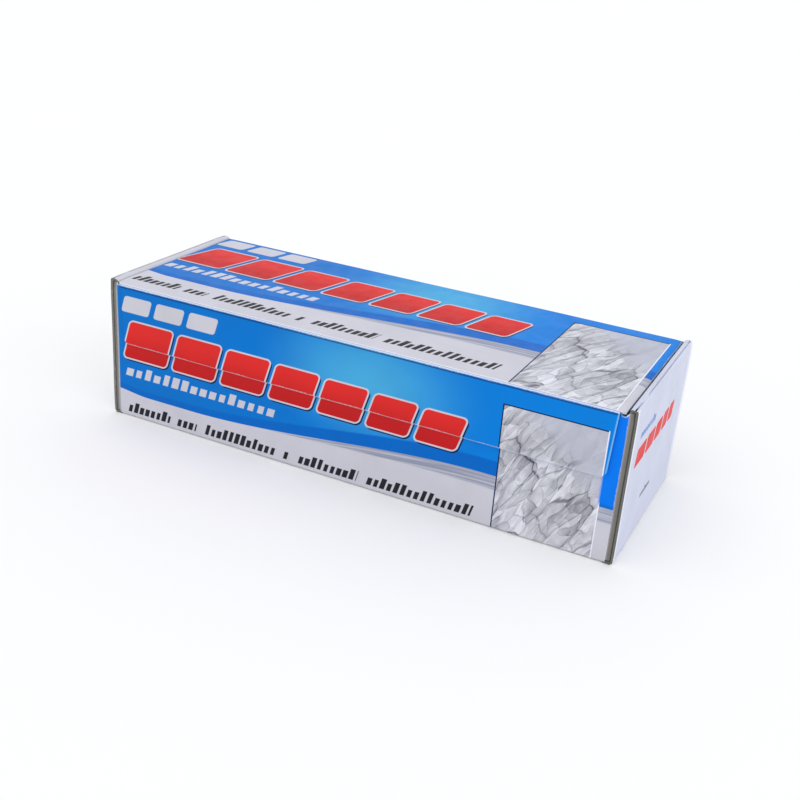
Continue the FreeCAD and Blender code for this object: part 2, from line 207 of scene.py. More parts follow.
# A run of small slanted marks, in place of one word of small print
def tickGroup():
    names = ("Along", "Down", "Start", "Stop", "Top", "Base", "Pitch", "Seed")
    tree, g, start, end = newGroup("ticks", [(n, "Float") for n in names], [("Distance", "Float")])
    along, down, first, last, top, base, pitch, seed = start[:8]
    upright = g.math("MULTIPLY_ADD", g.math("SUBTRACT", down, base), 0.28, along)
    steps = g.math("DIVIDE", g.math("SUBTRACT", upright, first), pitch)
    cell = g.math("FLOOR", steps)
    within = g.math("SUBTRACT", g.math("SUBTRACT", steps, cell), 0.45)
    dice = g.add("ShaderNodeTexWhiteNoise", noise_dimensions="2D")
    g.feed(dice.inputs["Vector"], g.combine(cell, seed))
    size, wide = g.split(dice.outputs["Color"])[:2]
    halfWidth = g.math("MULTIPLY", pitch, g.math("MULTIPLY_ADD", wide, 0.12, 0.28))
    sideways = g.math("SUBTRACT", g.math("MULTIPLY", g.math("ABSOLUTE", within), pitch), halfWidth)
    tall = g.math("SUBTRACT", base, top)
    share = g.math("MULTIPLY_ADD", g.math("GREATER_THAN", size, 0.62), 0.3, 0.7)
    height = g.math("MULTIPLY", tall, share)
    above = g.math("SUBTRACT", g.math("SUBTRACT", base, height), down)
    below = g.math("SUBTRACT", down, base)
    mark = g.math("MAXIMUM", sideways, g.math("MAXIMUM", above, below))
    ends = g.math("MAXIMUM", g.math("SUBTRACT", first, upright), g.math("SUBTRACT", upright, last))
    g.feed(end[0], g.math("MAXIMUM", mark, ends))
    return tree


# Crinkled foil, printed flat: long slanted facets that each shade across on their own
# slope, with a dark line here and there where two of them meet
def crinkleGroup():
    sockets = [("Along", "Float"), ("Down", "Float")]
    tree, g, start, end = newGroup("printedCrinkle", sockets, [("Shade", "Float")])
    along, down = start[:2]
    lengthways = g.math("MULTIPLY_ADD", along, -0.5, g.math("MULTIPLY", down, 0.87))
    across = g.math("MULTIPLY_ADD", along, 0.87, g.math("MULTIPLY", down, 0.5))
    place = g.combine(g.math("MULTIPLY", lengthways, 0.3), across)
    warp = g.add("ShaderNodeTexNoise")
    g.feed(warp.inputs["Vector"], place)
    g.feed(warp.inputs["Scale"], 0.12)
    bent = g.add("ShaderNodeVectorMath", operation="MULTIPLY_ADD")
    g.feed(bent.inputs[0], warp.outputs["Color"])
    bent.inputs[1].default_value = (3.0, 9.0, 0.0)
    g.feed(bent.inputs[2], place)
    total = None
    for scale, weight, line in ((0.1, 0.42, 0.9), (0.24, 0.36, 0.8), (0.6, 0.22, 0.4)):
        facets = g.add("ShaderNodeTexVoronoi", feature="F1", voronoi_dimensions="2D")
        g.feed(facets.inputs["Vector"], bent.outputs[0])
        g.feed(facets.inputs["Scale"], scale)
        away = g.add("ShaderNodeVectorMath", operation="SUBTRACT")
        g.feed(away.inputs[0], bent.outputs[0])
        g.feed(away.inputs[1], facets.outputs["Position"])
        lean = g.add("ShaderNodeVectorMath", operation="SUBTRACT")
        g.feed(lean.inputs[0], facets.outputs["Color"])
        lean.inputs[1].default_value = (0.5, 0.5, 0.5)
        slope = g.add("ShaderNodeVectorMath", operation="DOT_PRODUCT")
        g.feed(slope.inputs[0], away.outputs[0])
        g.feed(slope.inputs[1], lean.outputs[0])
        tone = g.math("MULTIPLY", slope.outputs["Value"], scale * 1.5)
        shade = g.math("MULTIPLY_ADD", g.split(facets.outputs["Color"])[2], 0.5, tone)
        joints = g.add("ShaderNodeTexVoronoi", feature="DISTANCE_TO_EDGE", voronoi_dimensions="2D")
        g.feed(joints.inputs["Vector"], bent.outputs[0])
        g.feed(joints.inputs["Scale"], scale)
        narrow = g.fade(joints.outputs["Distance"], 0.05, 0.0, 0.0, line)
        shade = g.math("SUBTRACT", shade, g.math("MULTIPLY", narrow, g.split(facets.outputs["Color"])[0]))
        part = g.math("MULTIPLY", shade, weight)
        total = part if total is None else g.math("ADD", total, part)
    g.feed(end[0], g.math("MULTIPLY_ADD", total, 1.25, 0.4, clamp=True))
    return tree


shapes = {"tile": tileGroup(), "ticks": tickGroup(), "crinkle": crinkleGroup()}


def inkMask(g, distance, blur=0.22):
    return g.math("MULTIPLY_ADD", distance, -1.0 / blur, 0.5, clamp=True)


def tile(g, place, left, right, top, bottom, slant=0.0, rounding=0.6):
    return g.group(shapes["tile"], *place, left, right, top, bottom, slant, rounding)[0]


def ticks(g, place, start, stop, top, base, pitch, seed):
    return g.group(shapes["ticks"], *place, start, stop, top, base, pitch, seed)[0]


# Ground of the blue field, brighter towards the right
def fieldInk(g, along):
    return g.mix(g.fade(along, 0.0, 300.0), inks["blue"], inks["blueRight"])


# Millimetres along and down the long panels, in this order where there are two
longPanel = {
    "shoreRise": (56.0, 244.0),  # the blue field's lower edge rises between these
    "shoreDown": (70.8, 55.4),
    "shoreDip": 2.2,
    "glow": (172.0, 22.0),
    "glowReach": 46.0,
    "silverRun": (88.0, 262.0),
    "silverWidth": 8.4,
    "tiles": 7,
    "tileStart": 12.0,
    "tileWidth": 30.5,
    "tileShrink": 0.96,
    "tileGap": 4.4,
    "tileTop": 23.0,
    "tileDrop": 0.7,
    "tileFoot": 47.6,
    "paleTiles": ((10.5, 30.0), (33.5, 53.0), (56.5, 76.0)),
    "paleBand": (7.8, 17.8),
    "paleMarks": (9.0, 114.0, 52.2, 59.2),
    "words": ((10, 41), (46, 60), (66, 115), (120, 124), (130, 168), (174, 237)),
    "wordBand": (76.3, 83.0),
    "window": (249.7, 304.4, 13.4, 99.0),
    "windowLine": 0.7,
    "windowMargin": 0.6,
}


# The long panels' print: a blue field over white, a band of silver, a row of red tiles,
# lines of small marks and a window of crinkled foil
def mainPrint():
    sockets = [("Along", "Float"), ("Down", "Float")]
    tree, g, start, end = newGroup("mainPrint", sockets, [("Ink", "Color")])
    along, down = start[:2]
    place = (along, down)

    size = longPanel
    rising = g.fade(along, *size["shoreRise"], *size["shoreDown"])
    shore = g.math("SUBTRACT", rising, g.fade(along, 26.0, 0.0, 0.0, size["shoreDip"]))
    beneath = g.math("SUBTRACT", down, shore)
    bandWidth = g.fade(along, 0.0, 240.0, 3.5, 8.5)

    spot = g.math("MULTIPLY", g.math("SUBTRACT", along, size["glow"][0]), 0.62)
    rise = g.math("SUBTRACT", down, size["glow"][1])
    far = g.math("SQRT", g.math("MULTIPLY_ADD", spot, spot, g.math("MULTIPLY", rise, rise)))
    glow = g.math("MULTIPLY", g.fade(far, size["glowReach"], 2.0), 0.72)
    field = g.mix(glow, fieldInk(g, along), inks["cyan"])
    inBand = inkMask(g, g.math("SUBTRACT", g.math("MULTIPLY", beneath, -1.0), bandWidth), 1.2)
    field = g.mix(inBand, field, inks["blueDark"])

    sheen = g.noise(g.combine(g.math("MULTIPLY", along, 0.012), g.math("MULTIPLY", beneath, 0.9)), 1.0, 3.0)
    silver = g.mix(g.fade(sheen, 0.4, 0.62), inks["silverDark"], inks["silver"])
    silverWidth = g.fade(along, *size["silverRun"], 0.0, size["silverWidth"])
    inSilver = inkMask(g, g.math("SUBTRACT", beneath, silverWidth), 0.8)
    silverMask = g.math("MULTIPLY", inSilver, g.fade(along, 90.0, 128.0))
    ground = g.mix(silverMask, inks["paper"], silver)
    ink = g.mix(inkMask(g, beneath), ground, field)

    left, width = size["tileStart"], size["tileWidth"]
    body = shadow = None
    for step in range(size["tiles"]):
        right = left + width
        top = size["tileTop"] + step * size["tileDrop"]
        foot = size["tileFoot"]
        nearer = tile(g, place, left, right, top, foot, 0.3, 2.4)
        below = tile(g, place, left + 0.9, right + 0.9, top + 0.8, foot + 1.0, 0.3, 2.8)
        body = nearer if body is None else g.math("MINIMUM", body, nearer)
        shadow = below if shadow is None else g.math("MINIMUM", shadow, below)
        left, width = right + size["tileGap"], width * size["tileShrink"]
    ink = g.mix(inkMask(g, g.math("SUBTRACT", shadow, 0.8)), ink, inks["navy"])
    ink = g.mix(inkMask(g, g.math("SUBTRACT", body, 1.0)), ink, inks["paper"])
    red = g.mix(g.fade(down, 26.0, 48.0), inks["red"], inks["redDeep"])
    ink = g.mix(inkMask(g, body), ink, red)

    pale = ticks(g, place, *size["paleMarks"], 6.6, 3.0)
    for left, right in size["paleTiles"]:
        pale = g.math("MINIMUM", pale, tile(g, place, left, right, *size["paleBand"], 0.3, 1.8))
    ink = g.mix(inkMask(g, pale), ink, inks["paper"])
    dark = None
    for seed, (first, last) in enumerate(size["words"]):
        word = ticks(g, place, first, last, *size["wordBand"], 4.1, 11.0 + seed)
        dark = word if dark is None else g.math("MINIMUM", dark, word)
    ink = g.mix(inkMask(g, dark), ink, inks["charcoal"])

    left, right, top, foot = size["window"]
    line = size["windowLine"]
    frameTile = tile(g, place, left - line, right, top - line, foot, 0.0, 0.1)
    window = tile(g, place, left, right, top, foot, 0.0, 0.1)
    margin = tile(g, place, right - size["windowMargin"], right, top - line, foot, 0.0, 0.1)
    shade = g.group(shapes["crinkle"], along, down)[0]
    foil = g.mix(shade, inks["foilDark"], inks["foilLight"])
    corner = g.math("MULTIPLY_ADD", g.math("SUBTRACT", along, 262.0), 0.9, -12.0)
    calm = g.fade(g.math("SUBTRACT", corner, down), -36.0, -14.0)
    foil = g.mix(g.math("MULTIPLY", calm, 0.85), foil, inks["silver"])
    ink = g.mix(inkMask(g, frameTile), ink, inks["navy"])
    ink = g.mix(inkMask(g, window), ink, foil)
    ink = g.mix(inkMask(g, margin), ink, inks["rubbed"])
    g.feed(end[0], ink)
    return tree


# The end walls' print: pale, with a few marks and paler upright edges
def endPrint():
    sockets = [("Along", "Float"), ("Down", "Float")]
    tree, g, start, end = newGroup("endPrint", sockets, [("Ink", "Color")])
    place = tuple(start[:2])
    blue = ticks(g, place, 16.0, 44.0, 16.0, 20.5, 3.6, 5.0)
    ink = g.mix(inkMask(g, blue), inks["lavender"], inks["blue"])
    red = None
    left, width = 14.0, 18.0
    for step in range(5):
        body = tile(g, place, left, left + width, 26.0, 36.0, 0.22, 2.0)
        red = body if red is None else g.math("MINIMUM", red, body)
        left, width = left + width + 1.8, width * 0.86
    ink = g.mix(inkMask(g, red), ink, inks["red"])
    small = ticks(g, place, 40.0, 60.0, 62.0, 65.0, 2.2, 8.0)
    ink = g.mix(inkMask(g, small), ink, inks["charcoal"])
    edge = g.math("MINIMUM", place[0], g.math("SUBTRACT", carton["depth"], place[0]))
    ink = g.mix(g.fade(edge, 3.2, 7.4, 0.8, 0.0), ink, inks["rubbed"])
    g.feed(end[0], ink)
    return tree


# The bottom's print: white with a blue line and a block of small grey lines
def basePrint():
    sockets = [("Along", "Float"), ("Down", "Float")]
    tree, g, start, end = newGroup("basePrint", sockets, [("Ink", "Color")])
    place = tuple(start[:2])
    line = g.math("SUBTRACT", g.math("ABSOLUTE", g.math("SUBTRACT", start[1], 22.0)), 3.0)
    ink = g.mix(inkMask(g, line), inks["paper"], inks["blue"])
    lines = None
    for row in range(5):
        top = 40.0 + row * 7.0
        mark = ticks(g, place, 30.0, 150.0 + (row % 2) * 26.0, top, top + 3.0, 2.3, 20.0 + row)
        lines = mark if lines is None else g.math("MINIMUM", lines, mark)
    ink = g.mix(inkMask(g, lines), ink, inks["charcoal"])
    g.feed(end[0], ink)
    return tree


# The front wall: plain behind the flap with blue margins at both ends, a painted highlight of brighter blue
# on the strip right of the flap, rubbed along the line of the flap's lower edge, and bare board in painted
# shade beside its left bend
def wallPrint(main):
    sockets = [("Along", "Float"), ("Down", "Float")]
    tree, g, start, end = newGroup("wallPrint", sockets, [("Ink", "Color")])
    along, down = start[:2]
    side = g.math("ABSOLUTE", g.math("SUBTRACT", along, carton["end"]))
    within = inkMask(g, g.math("SUBTRACT", side, carton["end"] - 12.0))
    beneath = g.math("SUBTRACT", down, carton["top"] - carton["flapFoot"])
    line = g.math("MULTIPLY", within, inkMask(g, g.math("SUBTRACT", beneath, 1.35), 0.4))
    ink = g.mix(g.math("MULTIPLY", line, 0.45), g.group(main, along, down)[0], inks["rubbed"])
    hidden = g.mix(within, fieldInk(g, along), inks["paper"])
    above = inkMask(g, g.math("SUBTRACT", down, 54.0), 3.0)
    # Painted light: brighter blue on the strip right of the flap
    margin = g.math("MULTIPLY", g.fade(along, 303.0, 304.4), above)
    ink = g.mix(inkMask(g, g.math("ADD", beneath, 1.2)), ink, hidden)
    ink = g.mix(margin, ink, inks["blueLit"])
    # Painted shade: grey bare board beside the left bend
    ink = g.mix(inkMask(g, g.math("SUBTRACT", along, 4.9)), ink, inks["bendShadePale"])
    g.feed(end[0], ink)
    return tree


# The wall's bends: bare white board with painted shade, pale grey near the print and darker grey away from
# it. Along is the distance from the carton's middle.
def bendShadePrint():
    sockets = [("Along", "Float"), ("Down", "Float")]
    tree, g, start, end = newGroup("bendShadePrint", sockets, [("Ink", "Color")])
    g.feed(end[0], g.mix(g.fade(start[0], 153.6, 155.0), inks["bendShadePale"], inks["bend"]))
    return tree


# The flap: the same print with a painted shadow of the score under its rubbed fold, and a painted highlight
# in pale blue along its lit right edge
def flapPrint(main):
    sockets = [("Along", "Float"), ("Down", "Float")]
    tree, g, start, end = newGroup("flapPrint", sockets, [("Ink", "Color")])
    along, down = start[:2]
    score = g.math("SUBTRACT", g.math("ABSOLUTE", g.math("SUBTRACT", down, 3.2)), 0.45)
    dark = g.math("MULTIPLY", inkMask(g, score, 0.5), 0.7)
    ink = g.mix(dark, g.group(main, along, down)[0], inks["navy"])
    taper = g.math("MULTIPLY_ADD", down, 1.8 / 36.0, along)  # the flap narrows by 1.8 mm
    # Painted highlight along the flap's lit right edge
    edge = inkMask(g, g.math("SUBTRACT", carton["end"] + flapHigh.x - 0.45, taper), 0.4)
    g.feed(end[0], g.mix(g.math("MULTIPLY", edge, 0.85), ink, inks["edgeHighlightBlue"]))
    return tree


# Coordinates that the piece builder leaves on the mesh
def sheetPlace(g):
    place = g.add("ShaderNodeAttribute", attribute_name="sheetPlace")
    along, down, across = g.split(place.outputs["Vector"])
    return along, down, across


def borderDistance(g, along, down):
    box = g.add("ShaderNodeAttribute", attribute_name="panelBox")
    left, top, right = g.split(box.outputs["Vector"])
    bottom = box.outputs["Alpha"]
    sides = (
        g.math("SUBTRACT", along, left),
        g.math("SUBTRACT", right, along),
        g.math("SUBTRACT", down, top),
        g.math("SUBTRACT", bottom, down),
    )
    return g.math("MINIMUM", g.math("MINIMUM", *sides[:2]), g.math("MINIMUM", *sides[2:]))


def newMaterial(name):
    material = bpy.data.materials.new(name)
    material.use_nodes = True
    material.node_tree.nodes.clear()
    g = Graph(material.node_tree)
    shader = g.add("ShaderNodeBsdfPrincipled")
    output = g.add("ShaderNodeOutputMaterial")
    g.feed(output.inputs["Surface"], shader.outputs[0])
    return material, g, shader


def objectPlace(g):
    return g.add("ShaderNodeTexCoord").outputs["Object"]


# Printed card under a thin varnish: ink, rubbed borders, faint fibre and flute relief
def printedCard(name, printTree=None, plain=None):
    material, g, shader = newMaterial(name)
    where = objectPlace(g)
    along, down, across = sheetPlace(g)
    ink = g.group(printTree, along, down)[0] if printTree else plain
    cloud = g.noise(where, 38.0, 3.0)
    ink = g.mix(g.fade(cloud, 0.3, 0.75, 0.0, 0.07), ink, inks["charcoal"])
    border = borderDistance(g, along, down)
    grit = g.noise(where, 900.0, 4.0, 0.65)
    reach = g.fade(g.noise(where, 60.0, 2.0), 0.35, 0.75, 0.15, 0.75)
    near = g.fade(g.math("DIVIDE", border, reach), 1.0, 0.1)
    chips = g.math("MULTIPLY", near, g.fade(grit, 0.42, 0.6, 0.1, 0.6))
    fold = g.math("MULTIPLY", g.fade(border, -0.05, -0.3), g.fade(grit, 0.25, 0.45, 0.85, 1.0))
    rub = g.math("MAXIMUM", chips, fold)
    ink = g.mix(g.math("MULTIPLY", rub, 0.8), ink, inks["rubbed"])
    g.feed(shader.inputs["Base Color"], ink)
    g.feed(shader.inputs["Roughness"], g.fade(g.noise(where, 120.0, 3.0), 0.3, 0.7, 0.34, 0.46))
    shader.inputs["Specular IOR Level"].default_value = 0.07
    flutes = g.math("SINE", g.math("MULTIPLY", along, 2 * math.pi / 1.6))
    relief = g.math("MULTIPLY_ADD", flutes, 0.05, g.noise(where, 420.0, 4.0, 0.6))
    soft = g.bump(g.noise(where, 22.0, 1.0), 0.0008, 0.5)
    g.feed(shader.inputs["Normal"], g.bump(relief, 0.00003, 0.6, soft))
    return material


# Bare side of the card: grey-brown recycled fibre with specks
def rawCard():
    material, g, shader = newMaterial("rawCard")
    where = objectPlace(g)
    fibre = g.noise(where, 700.0, 5.0, 0.7)
    cloud = g.noise(where, 40.0, 3.0)
    tone = g.mix(g.fade(cloud, 0.2, 0.8, 0.3, 0.7), inks["boardBrown"], inks["boardGrey"])
    tone = g.mix(g.fade(fibre, 0.6, 0.75, 0.0, 0.4), tone, inks["boardDark"])
    tone = g.mix(g.fade(g.noise(where, 480.0, 3.0, 0.6), 0.66, 0.74, 0.0, 0.35), tone, inks["paper"])
    g.feed(shader.inputs["Base Color"], tone)
    shader.inputs["Roughness"].default_value = 0.85
    g.feed(shader.inputs["Normal"], g.bump(fibre, 0.00008, 0.5))
    return material


# Cut edge of the card: two liners with a waved layer between them, with painted shade in the hollows
# between the waves and painted shade darkening it towards the right
def cutCard(name, liner, core, hollowShade, rightShade=0.0):
    material, g, shader = newMaterial(name)
    where = objectPlace(g)
    along, down, across = sheetPlace(g)
    x, y, z = g.split(where)
    run = g.math("ADD", g.math("ADD", x, y), z)
    wave = g.math("MULTIPLY_ADD", g.math("SINE", g.math("MULTIPLY", run, 2 * math.pi / 0.0021)), 0.26, 0.5)
    apart = g.math("ABSOLUTE", g.math("SUBTRACT", across, wave))
    flute = g.fade(apart, 0.3, 0.1)
    skin = g.fade(g.math("ABSOLUTE", g.math("SUBTRACT", across, 0.5)), 0.3, 0.4)
    fibre = g.noise(where, 1400.0, 4.0, 0.7)
    # Painted shade: the hollows between the waves are darker
    tone = g.mix(flute, srgb(*hollowShade), srgb(*core))
    tone = g.mix(skin, tone, srgb(*liner))
    tone = g.mix(g.fade(fibre, 0.4, 0.75, 0.0, 0.3), tone, inks["boardDark"])
    torn = g.fade(g.noise(where, 260.0, 3.0), 0.62, 0.7)
    tone = g.mix(g.math("MULTIPLY", torn, 0.4), tone, inks["paper"])
    # Painted shade: darker towards the carton's right end
    tone = g.mix(g.fade(x, -0.12, 0.12, 0.0, rightShade), tone, inks["boardDark"])
    g.feed(shader.inputs["Base Color"], tone)
    shader.inputs["Roughness"].default_value = 0.9
    relief = g.math("ADD", g.math("MAXIMUM", flute, skin), g.math("MULTIPLY", fibre, 0.5))
    g.feed(shader.inputs["Normal"], g.bump(relief, 0.0002, 0.5))
    return material


mainTree = mainPrint()
materials = {
    "main": printedCard("printedMain", mainTree),
    "flap": printedCard("printedFlap", flapPrint(mainTree)),
    "wall": printedCard("printedWall", wallPrint(mainTree)),
    "end": printedCard("printedEnd", endPrint()),
    "base": printedCard("printedBase", basePrint()),
    "lavender": printedCard("lavenderFace", plain=inks["lavender"]),
    "white": printedCard("whiteFace", plain=inks["paper"]),
    # Bends of bare board in painted shade
    "plain": printedCard("unprintedShadedFace", bendShadePrint()),
    "raw": rawCard(),
    # The same cut board in three tones: grey with painted shade towards the right, and two copies with
    # painted light, pale for the lid's cut edges and pale blue (painted highlight and blue reflected light)
    # for the flap's cut edges and the front wall's top edge right of the flap
    "cut": cutCard("cutCard", (112, 112, 106), (132, 131, 124), (118, 118, 112), 0.5),
    "cutLitPale": cutCard("cutPaleCard", (232, 233, 240), (216, 217, 226), (188, 190, 200)),
    "cutLitBlue": cutCard("cutBlueCard", (180, 216, 252), (160, 206, 250), (140, 186, 236)),
}
print("materials made")


# Fine lattice over a copy of a node, so that it can bend a little. The extra cuts are
# across its length.
def latticeCopy(source, step, extraAlong=()):
    mesh = bmesh.new()
    mesh.from_mesh(source.data)
    bmesh.ops.remove_doubles(mesh, verts=mesh.verts, dist=1e-6)
    bmesh.ops.dissolve_limit(mesh, angle_limit=math.radians(0.5), verts=mesh.verts, edges=mesh.edges)
    low = [min(v.co[axis] for v in mesh.verts) for axis in range(3)]
    high = [max(v.co[axis] for v in mesh.verts) for axis in range(3)]
    for axis in range(3):
        normal = Vector([1.0 if axis == other else 0.0 for other in range(3)])
        cuts = int((high[axis] - low[axis]) / step)
        spots = [low[axis] + (high[axis] - low[axis]) * cut / (cuts + 1) for cut in range(1, cuts + 1)]
        for spot in spots + (list(extraAlong) if axis == 0 else []):
            place = normal * spot
            geometry = mesh.verts[:] + mesh.edges[:] + mesh.faces[:]
            bmesh.ops.bisect_plane(mesh, geom=geometry, dist=1e-7, plane_co=place, plane_no=normal)
    mesh.normal_update()
    return mesh


# Sorts a card sheet's faces into its printed side, its bare side and its cut edges. A
# face is on a side if the sheet behind it is one board thick, and the printed side is
# all that can be reached from the seeds without going over a cut edge.
def sortFaces(mesh, isSeed):
    tree = BVHTree.FromBMesh(mesh)
    board = carton["board"] * MM
    sides = {}
    for face in mesh.faces:
        start = face.calc_center_median() - face.normal * 2e-5
        hit = tree.ray_cast(start, -face.normal, 0.01)
        sides[face] = "raw" if hit[0] is not None and abs(hit[3] + 2e-5 - board) < 0.00025 else "cut"
    queue = [face for face in mesh.faces if sides[face] == "raw" and isSeed(face)]
    for face in queue:
        sides[face] = "printed"
    while queue:
        face = queue.pop()
        for edge in face.edges:
            for other in edge.link_faces:
                if sides[other] == "raw" and other.normal.angle(face.normal) < math.radians(35):
                    sides[other] = "printed"
                    queue.append(other)
    return sides


# Millimetres
cardWear = {
    "wave": 0.34,
    "waveRun": (70, 45, 38),
    "cornerReach": 9.0,
    "cornerDent": 0.55,
    "spine": 4.4,  # width of a folded end's top
    "spineRadius": 1.5,
    "swellLeft": 0.95,
    "swellRight": 0.25,
    "edgeForward": 0.3,
    "bendRadius": 2.6,
    "rimAt": 151.6,
    "rimHalf": 2.2,
    "rimDip": 1.6,
    "lidReach": 3.6,
    "lidDrop": 0.75,
}
extraCuts = {
    "carton_tray": (149.4, 150.4, 152.8),
    "lid_panel": (148.9, 149.8, 150.6, 151.3),
}


# Slow waves of the panels and softened outer corners, in metres. All card moves by the
# same field, so pieces that lie together stay together.
def sheetShift(place):
    x, y, z = place / MM
    half = Vector((carton["end"], carton["depth"] / 2, carton["top"] / 2))
    centred = Vector((x / half.x, y / half.y, (z - half.z) / half.z))
    run = cardWear["waveRun"]
    wave = 0.5 + 0.5 * noise.noise(Vector((x / run[0], y / run[1], z / run[2])))
    shift = Vector([-cardWear["wave"] * wave * c for c in centred])
    shift.z *= min(1.0, z / 12)
    reach = Vector((half.x - abs(x), half.y - abs(y), half.z - abs(z - half.z))).length
    if reach < cardWear["cornerReach"]:
        soft = (1 - reach / cardWear["cornerReach"]) ** 2 * (0.6 + 0.5 * noise.noise(place * 400))
        shift -= Vector([math.copysign(cardWear["cornerDent"] * soft, c) for c in centred])
    return shift * MM


# Moves a point of a round corner outwards, so that the corner is nearly square
def squareCorner(u, v, power):
    length = math.hypot(u, v)
    grow = 1.0 / ((abs(u) / length) ** power + (abs(v) / length) ** power) ** (1.0 / power)
    return u * grow, v * grow


# The tray's own wear: folded end tops pressed flat and swollen towards the lid, more
# so on the left, the end walls' cut edges level with the front, squarer bends, and the
# front wall's top edge worn down at the right of the flap
def trayWear(vert):
    x, y, z = vert.co / MM
    end, top, front, run = carton["end"], carton["top"], carton["wallFront"], carton["wallRun"]
    side = math.copysign(1.0, x)
    across = abs(x)
    radius = cardWear["spineRadius"]
    spine = end - cardWear["spine"]
    if across > spine + radius and z > top - radius:
        centre = end - radius if across > end - radius else spine + radius
        u, v = (across - centre) / radius, (z - top + radius) / radius
        if math.hypot(u, v) > 0.5 and abs(u) > 1e-4:
            u, v = squareCorner(u, v, 4)
            across = min(centre + u * radius, end)
            z = min(top - radius + v * radius, top)
    if across > spine - 0.05:
        rise = min(max((z - top + 6.0) / 4.0, 0.0), 1.0)
        swell = cardWear["swellLeft"] if x < 0 else cardWear["swellRight"]
        across -= swell * rise * min(max((spine + radius - across) / radius, 0.0), 1.0)
    if across > end - 1.4 and y < front + 8.0:
        forward = cardWear["edgeForward"] * min((front + 8.0 - y) / 5.0, 1.0)
        y = max(front + 0.02, y - forward)
    if run < across < end - 1.4 and z < top - 2.0:
        bend = cardWear["bendRadius"]
        middle = front + bend if y < 0 else carton["back"] - bend
        u, v = (across - run) / bend, (y - middle) / bend
        if abs(y) > abs(middle) and math.hypot(u, v) > 0.4 and u > 1e-4:
            u, v = squareCorner(u, v, 5)
            across = run + u * bend
            y = middle + v * bend
    off = (across - cardWear["rimAt"]) / cardWear["rimHalf"]
    if x > 0 and y < front + 1.35 and z > top - 4.0 and abs(off) < 1:
        z -= cardWear["rimDip"] * min(1.0, 1.6 * (1 - off**2))
    vert.co = Vector((side * across, y, z)) * MM


# The lid's worn right end, bent down a little towards its cut edge
def lidWear(vert):
    reach = vert.co.x / MM - (lidHigh.x - cardWear["lidReach"])
    if reach > 0:
        vert.co.z -= cardWear["lidDrop"] * (reach / cardWear["lidReach"]) ** 2 * MM


# The lid carries the long panels' print, drawn out to its own size
lidFit = {"from": 8.0, "scale": 0.986, "start": 10.6, "lift": 5.0}
noRub = (-999, -999, 999, 999)


# Panel that a printed face belongs to: material, a function that gives millimetres along
# and down it, and the box that its rubbed borders follow
def panelOf(face, node):
    x, y, z = face.normal
    end, top, back, run = carton["end"], carton["top"], carton["back"], carton["wallRun"]
    half = carton["depth"] / 2
    if node == "lid_panel":
        scale = top / carton["depth"]
        lift = lidFit["lift"]

        def lidAlong(across):
            return (across + end - lidFit["from"]) * lidFit["scale"] + lidFit["start"]

        box = (lidAlong(lidLow.x), lift + 0.3, lidAlong(lidHigh.x), lift + top - 0.8)
        return "main", lambda p: (lidAlong(p.x), (back - p.y) * scale + lift), box
    if node == "front_flap":
        box = (end + flapLow.x - 5.0, 2.5, end + flapHigh.x + 5.0, top - carton["flapFoot"])
        return "flap", lambda p: (p.x + end, top - p.z), box
    centre = face.calc_center_median() / MM
    away = abs(centre.x)
    inLeaf = away < end - carton["leaf"]
    side = math.copysign(1.0, centre.x)
    inBend = abs(away - (end - carton["leaf"])) < 1.45 and abs(centre.y) > half - 6 and centre.z < top - 3
    if inBend and away > run:
        return "plain", lambda p: (abs(p.x), p.z), noRub
    if abs(x) > max(abs(y), abs(z)) and not inLeaf:
        box = (3.2, 0.3, 115.6, top) if side > 0 else (0.4, 0.3, 112.8, top)
        return "end", lambda p: (side * p.y + half, top - p.z), box
    if away > run - 1.0 and (centre.z > carton["lidTop"] - 1.8 or (inLeaf and x * side < -0.5)):
        return "lavender" if side > 0 else "white", lambda p: (p.y, p.x), noRub
    if away > run and abs(z) < 0.5:
        return "plain", lambda p: (abs(p.x), p.z), noRub
    if z < -0.71:
        return "base", lambda p: (p.x + end, p.y + half), (0.3, 0.6, end * 2 - 0.3, 115.0)
    if y < 0:
        return "wall", lambda p: (p.x + end, top - p.z), (end - run, 3.2, end + run, top)
    return "main", lambda p: (end - p.x, top - p.z), (end - run, 1.0, end + run, top)


